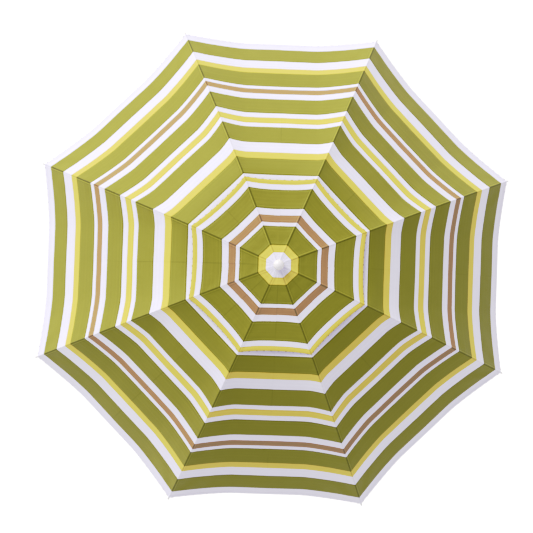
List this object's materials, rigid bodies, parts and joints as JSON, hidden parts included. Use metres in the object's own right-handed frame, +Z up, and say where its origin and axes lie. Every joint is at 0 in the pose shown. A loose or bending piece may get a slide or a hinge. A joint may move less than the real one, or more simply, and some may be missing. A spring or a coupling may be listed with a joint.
{
  "type": "golf umbrella",
  "caption": "Open manual golf umbrella with a vented double canopy in banded stripes, a ball finial, a folding rib frame and a straight grip.",
  "frame": {"origin": "middle of the flat end of the handle", "axes": "+Z up the shaft to the finial; ribs at 22.5 degrees from +X and every 45 degrees on, so a gore faces each of +X and +Y"},
  "size_m": [1.1956, 1.1956, 0.9772],
  "materials": {
    "steel": "bright drawn steel, clear lacquer",
    "dark_steel": "black enamelled steel",
    "white_plastic": "satin",
    "white_gloss": "polished",
    "black_plastic": "satin",
    "grip_foam": "closed-cell foam, fine grain",
    "canopy_cloth": "plain-woven polyester with stripes across each gore: olive green, lemon yellow, tan brown and white",
    "vent_cloth": "plain-woven polyester with the same stripes"
  },
  "bodies": {
    "shaft": {"shaft": "steel", "crown_notch": "white_plastic", "crown_wire": "steel", "runner_stop": "dark_steel", "finial": "white_gloss", "handle_grip": "grip_foam", "handle_end_cap": "black_plastic", "handle_ferrule": "steel"},
    "runner": {"runner": "black_plastic"},
    "top_catch": {"top_catch": "steel"},
    "bottom_catch": {"bottom_catch": "steel"},
    "rib_1": {"rib_1": "dark_steel"},
    "stretcher_1": {"stretcher_1": "dark_steel"},
    "wing_1_right": {"canopy_1_right": "canopy_cloth", "vent_1_right": "vent_cloth"},
    "wing_1_left": {"canopy_1_left": "canopy_cloth", "vent_1_left": "vent_cloth"},
    "rib_2": {"rib_2": "dark_steel"},
    "stretcher_2": {"stretcher_2": "dark_steel"},
    "wing_2_right": {"canopy_2_right": "canopy_cloth", "vent_2_right": "vent_cloth"},
    "wing_2_left": {"canopy_2_left": "canopy_cloth", "vent_2_left": "vent_cloth"},
    "rib_3": {"rib_3": "dark_steel"},
    "stretcher_3": {"stretcher_3": "dark_steel"},
    "wing_3_right": {"canopy_3_right": "canopy_cloth", "vent_3_right": "vent_cloth"},
    "wing_3_left": {"canopy_3_left": "canopy_cloth", "vent_3_left": "vent_cloth"},
    "rib_4": {"rib_4": "dark_steel"},
    "stretcher_4": {"stretcher_4": "dark_steel"},
    "wing_4_right": {"canopy_4_right": "canopy_cloth", "vent_4_right": "vent_cloth"},
    "wing_4_left": {"canopy_4_left": "canopy_cloth", "vent_4_left": "vent_cloth"},
    "rib_5": {"rib_5": "dark_steel"},
    "stretcher_5": {"stretcher_5": "dark_steel"},
    "wing_5_right": {"canopy_5_right": "canopy_cloth", "vent_5_right": "vent_cloth"},
    "wing_5_left": {"canopy_5_left": "canopy_cloth", "vent_5_left": "vent_cloth"},
    "rib_6": {"rib_6": "dark_steel"},
    "stretcher_6": {"stretcher_6": "dark_steel"},
    "wing_6_right": {"canopy_6_right": "canopy_cloth", "vent_6_right": "vent_cloth"},
    "wing_6_left": {"canopy_6_left": "canopy_cloth", "vent_6_left": "vent_cloth"},
    "rib_7": {"rib_7": "dark_steel"},
    "stretcher_7": {"stretcher_7": "dark_steel"},
    "wing_7_right": {"canopy_7_right": "canopy_cloth", "vent_7_right": "vent_cloth"},
    "wing_7_left": {"canopy_7_left": "canopy_cloth", "vent_7_left": "vent_cloth"},
    "rib_8": {"rib_8": "dark_steel"},
    "stretcher_8": {"stretcher_8": "dark_steel"},
    "wing_8_right": {"canopy_8_right": "canopy_cloth", "vent_8_right": "vent_cloth"},
    "wing_8_left": {"canopy_8_left": "canopy_cloth", "vent_8_left": "vent_cloth"}
  },
  "joints": [
    {"name": "runner_slide", "type": "slide", "parent": "shaft", "child": "runner", "axis": [0, 0, 1], "range_m": [-0.4005, 0]},
    {"name": "top_catch_press", "type": "slide", "parent": "shaft", "child": "top_catch", "axis": [-1, 0, 0], "range_m": [0, 0.003], "stiffness_N_per_m": 1500},
    {"name": "bottom_catch_press", "type": "slide", "parent": "shaft", "child": "bottom_catch", "axis": [-1, 0, 0], "range_m": [0, 0.003], "stiffness_N_per_m": 1500},
    {"name": "rib_1_fold", "type": "hinge", "parent": "shaft", "child": "rib_1", "pos_m": [0.01386, 0.00574, 0.945], "axis": [-0.3827, 0.9239, 0], "range_deg": [0, 58.2]},
    {"name": "stretcher_1_fold", "type": "hinge", "parent": "rib_1", "child": "stretcher_1", "pos_m": [0.26543, 0.10995, 0.87978], "axis": [-0.3827, 0.9239, 0], "range_deg": [-116.4, 0]},
    {"name": "pleat_1_right", "type": "hinge", "parent": "rib_1", "child": "wing_1_right", "pos_m": [0.01386, 0.00574, 0.945], "axis": [-0.8032, -0.3327, 0.4942], "range_deg": [0, 80.2], "deforming": ["canopy_1_right", "vent_1_right"]},
    {"name": "pleat_1_left", "type": "hinge", "parent": "rib_1", "child": "wing_1_left", "pos_m": [0.01386, 0.00574, 0.945], "axis": [0.8032, 0.3327, -0.4942], "range_deg": [0, 80.2], "deforming": ["canopy_1_left", "vent_1_left"]},
    {"name": "rib_2_fold", "type": "hinge", "parent": "shaft", "child": "rib_2", "pos_m": [0.00574, 0.01386, 0.945], "axis": [-0.9239, 0.3827, 0], "range_deg": [0, 58.2]},
    {"name": "stretcher_2_fold", "type": "hinge", "parent": "rib_2", "child": "stretcher_2", "pos_m": [0.10995, 0.26543, 0.87978], "axis": [-0.9239, 0.3827, 0], "range_deg": [-116.4, 0]},
    {"name": "pleat_2_right", "type": "hinge", "parent": "rib_2", "child": "wing_2_right", "pos_m": [0.00574, 0.01386, 0.945], "axis": [-0.3327, -0.8032, 0.4942], "range_deg": [0, 80.2], "deforming": ["canopy_2_right", "vent_2_right"]},
    {"name": "pleat_2_left", "type": "hinge", "parent": "rib_2", "child": "wing_2_left", "pos_m": [0.00574, 0.01386, 0.945], "axis": [0.3327, 0.8032, -0.4942], "range_deg": [0, 80.2], "deforming": ["canopy_2_left", "vent_2_left"]},
    {"name": "rib_3_fold", "type": "hinge", "parent": "shaft", "child": "rib_3", "pos_m": [-0.00574, 0.01386, 0.945], "axis": [-0.9239, -0.3827, 0], "range_deg": [0, 58.2]},
    {"name": "stretcher_3_fold", "type": "hinge", "parent": "rib_3", "child": "stretcher_3", "pos_m": [-0.10995, 0.26543, 0.87978], "axis": [-0.9239, -0.3827, 0], "range_deg": [-116.4, 0]},
    {"name": "pleat_3_right", "type": "hinge", "parent": "rib_3", "child": "wing_3_right", "pos_m": [-0.00574, 0.01386, 0.945], "axis": [0.3327, -0.8032, 0.4942], "range_deg": [0, 80.2], "deforming": ["canopy_3_right", "vent_3_right"]},
    {"name": "pleat_3_left", "type": "hinge", "parent": "rib_3", "child": "wing_3_left", "pos_m": [-0.00574, 0.01386, 0.945], "axis": [-0.3327, 0.8032, -0.4942], "range_deg": [0, 80.2], "deforming": ["canopy_3_left", "vent_3_left"]},
    {"name": "rib_4_fold", "type": "hinge", "parent": "shaft", "child": "rib_4", "pos_m": [-0.01386, 0.00574, 0.945], "axis": [-0.3827, -0.9239, 0], "range_deg": [0, 58.2]},
    {"name": "stretcher_4_fold", "type": "hinge", "parent": "rib_4", "child": "stretcher_4", "pos_m": [-0.26543, 0.10995, 0.87978], "axis": [-0.3827, -0.9239, 0], "range_deg": [-116.4, 0]},
    {"name": "pleat_4_right", "type": "hinge", "parent": "rib_4", "child": "wing_4_right", "pos_m": [-0.01386, 0.00574, 0.945], "axis": [0.8032, -0.3327, 0.4942], "range_deg": [0, 80.2], "deforming": ["canopy_4_right", "vent_4_right"]},
    {"name": "pleat_4_left", "type": "hinge", "parent": "rib_4", "child": "wing_4_left", "pos_m": [-0.01386, 0.00574, 0.945], "axis": [-0.8032, 0.3327, -0.4942], "range_deg": [0, 80.2], "deforming": ["canopy_4_left", "vent_4_left"]},
    {"name": "rib_5_fold", "type": "hinge", "parent": "shaft", "child": "rib_5", "pos_m": [-0.01386, -0.00574, 0.945], "axis": [0.3827, -0.9239, 0], "range_deg": [0, 58.2]},
    {"name": "stretcher_5_fold", "type": "hinge", "parent": "rib_5", "child": "stretcher_5", "pos_m": [-0.26543, -0.10995, 0.87978], "axis": [0.3827, -0.9239, 0], "range_deg": [-116.4, 0]},
    {"name": "pleat_5_right", "type": "hinge", "parent": "rib_5", "child": "wing_5_right", "pos_m": [-0.01386, -0.00574, 0.945], "axis": [0.8032, 0.3327, 0.4942], "range_deg": [0, 80.2], "deforming": ["canopy_5_right", "vent_5_right"]},
    {"name": "pleat_5_left", "type": "hinge", "parent": "rib_5", "child": "wing_5_left", "pos_m": [-0.01386, -0.00574, 0.945], "axis": [-0.8032, -0.3327, -0.4942], "range_deg": [0, 80.2], "deforming": ["canopy_5_left", "vent_5_left"]},
    {"name": "rib_6_fold", "type": "hinge", "parent": "shaft", "child": "rib_6", "pos_m": [-0.00574, -0.01386, 0.945], "axis": [0.9239, -0.3827, 0], "range_deg": [0, 58.2]},
    {"name": "stretcher_6_fold", "type": "hinge", "parent": "rib_6", "child": "stretcher_6", "pos_m": [-0.10995, -0.26543, 0.87978], "axis": [0.9239, -0.3827, 0], "range_deg": [-116.4, 0]},
    {"name": "pleat_6_right", "type": "hinge", "parent": "rib_6", "child": "wing_6_right", "pos_m": [-0.00574, -0.01386, 0.945], "axis": [0.3327, 0.8032, 0.4942], "range_deg": [0, 80.2], "deforming": ["canopy_6_right", "vent_6_right"]},
    {"name": "pleat_6_left", "type": "hinge", "parent": "rib_6", "child": "wing_6_left", "pos_m": [-0.00574, -0.01386, 0.945], "axis": [-0.3327, -0.8032, -0.4942], "range_deg": [0, 80.2], "deforming": ["canopy_6_left", "vent_6_left"]},
    {"name": "rib_7_fold", "type": "hinge", "parent": "shaft", "child": "rib_7", "pos_m": [0.00574, -0.01386, 0.945], "axis": [0.9239, 0.3827, 0], "range_deg": [0, 58.2]},
    {"name": "stretcher_7_fold", "type": "hinge", "parent": "rib_7", "child": "stretcher_7", "pos_m": [0.10995, -0.26543, 0.87978], "axis": [0.9239, 0.3827, 0], "range_deg": [-116.4, 0]},
    {"name": "pleat_7_right", "type": "hinge", "parent": "rib_7", "child": "wing_7_right", "pos_m": [0.00574, -0.01386, 0.945], "axis": [-0.3327, 0.8032, 0.4942], "range_deg": [0, 80.2], "deforming": ["canopy_7_right", "vent_7_right"]},
    {"name": "pleat_7_left", "type": "hinge", "parent": "rib_7", "child": "wing_7_left", "pos_m": [0.00574, -0.01386, 0.945], "axis": [0.3327, -0.8032, -0.4942], "range_deg": [0, 80.2], "deforming": ["canopy_7_left", "vent_7_left"]},
    {"name": "rib_8_fold", "type": "hinge", "parent": "shaft", "child": "rib_8", "pos_m": [0.01386, -0.00574, 0.945], "axis": [0.3827, 0.9239, 0], "range_deg": [0, 58.2]},
    {"name": "stretcher_8_fold", "type": "hinge", "parent": "rib_8", "child": "stretcher_8", "pos_m": [0.26543, -0.10995, 0.87978], "axis": [0.3827, 0.9239, 0], "range_deg": [-116.4, 0]},
    {"name": "pleat_8_right", "type": "hinge", "parent": "rib_8", "child": "wing_8_right", "pos_m": [0.01386, -0.00574, 0.945], "axis": [-0.8032, 0.3327, 0.4942], "range_deg": [0, 80.2], "deforming": ["canopy_8_right", "vent_8_right"]},
    {"name": "pleat_8_left", "type": "hinge", "parent": "rib_8", "child": "wing_8_left", "pos_m": [0.01386, -0.00574, 0.945], "axis": [0.8032, -0.3327, -0.4942], "range_deg": [0, 80.2], "deforming": ["canopy_8_left", "vent_8_left"]}
  ],
  "couplings": [
    {"joint": "rib_1_fold", "follows": "runner_slide", "rad_per_m": -2.5276},
    {"joint": "stretcher_1_fold", "follows": "runner_slide", "rad_per_m": 5.0551},
    {"joint": "pleat_1_right", "follows": "runner_slide", "rad_per_m": -3.4863},
    {"joint": "pleat_1_left", "follows": "runner_slide", "rad_per_m": -3.4863},
    {"joint": "rib_2_fold", "follows": "runner_slide", "rad_per_m": -2.5276},
    {"joint": "stretcher_2_fold", "follows": "runner_slide", "rad_per_m": 5.0551},
    {"joint": "pleat_2_right", "follows": "runner_slide", "rad_per_m": -3.4863},
    {"joint": "pleat_2_left", "follows": "runner_slide", "rad_per_m": -3.4863},
    {"joint": "rib_3_fold", "follows": "runner_slide", "rad_per_m": -2.5276},
    {"joint": "stretcher_3_fold", "follows": "runner_slide", "rad_per_m": 5.0551},
    {"joint": "pleat_3_right", "follows": "runner_slide", "rad_per_m": -3.4863},
    {"joint": "pleat_3_left", "follows": "runner_slide", "rad_per_m": -3.4863},
    {"joint": "rib_4_fold", "follows": "runner_slide", "rad_per_m": -2.5276},
    {"joint": "stretcher_4_fold", "follows": "runner_slide", "rad_per_m": 5.0551},
    {"joint": "pleat_4_right", "follows": "runner_slide", "rad_per_m": -3.4863},
    {"joint": "pleat_4_left", "follows": "runner_slide", "rad_per_m": -3.4863},
    {"joint": "rib_5_fold", "follows": "runner_slide", "rad_per_m": -2.5276},
    {"joint": "stretcher_5_fold", "follows": "runner_slide", "rad_per_m": 5.0551},
    {"joint": "pleat_5_right", "follows": "runner_slide", "rad_per_m": -3.4863},
    {"joint": "pleat_5_left", "follows": "runner_slide", "rad_per_m": -3.4863},
    {"joint": "rib_6_fold", "follows": "runner_slide", "rad_per_m": -2.5276},
    {"joint": "stretcher_6_fold", "follows": "runner_slide", "rad_per_m": 5.0551},
    {"joint": "pleat_6_right", "follows": "runner_slide", "rad_per_m": -3.4863},
    {"joint": "pleat_6_left", "follows": "runner_slide", "rad_per_m": -3.4863},
    {"joint": "rib_7_fold", "follows": "runner_slide", "rad_per_m": -2.5276},
    {"joint": "stretcher_7_fold", "follows": "runner_slide", "rad_per_m": 5.0551},
    {"joint": "pleat_7_right", "follows": "runner_slide", "rad_per_m": -3.4863},
    {"joint": "pleat_7_left", "follows": "runner_slide", "rad_per_m": -3.4863},
    {"joint": "rib_8_fold", "follows": "runner_slide", "rad_per_m": -2.5276},
    {"joint": "stretcher_8_fold", "follows": "runner_slide", "rad_per_m": 5.0551},
    {"joint": "pleat_8_right", "follows": "runner_slide", "rad_per_m": -3.4863},
    {"joint": "pleat_8_left", "follows": "runner_slide", "rad_per_m": -3.4863}
  ]
}
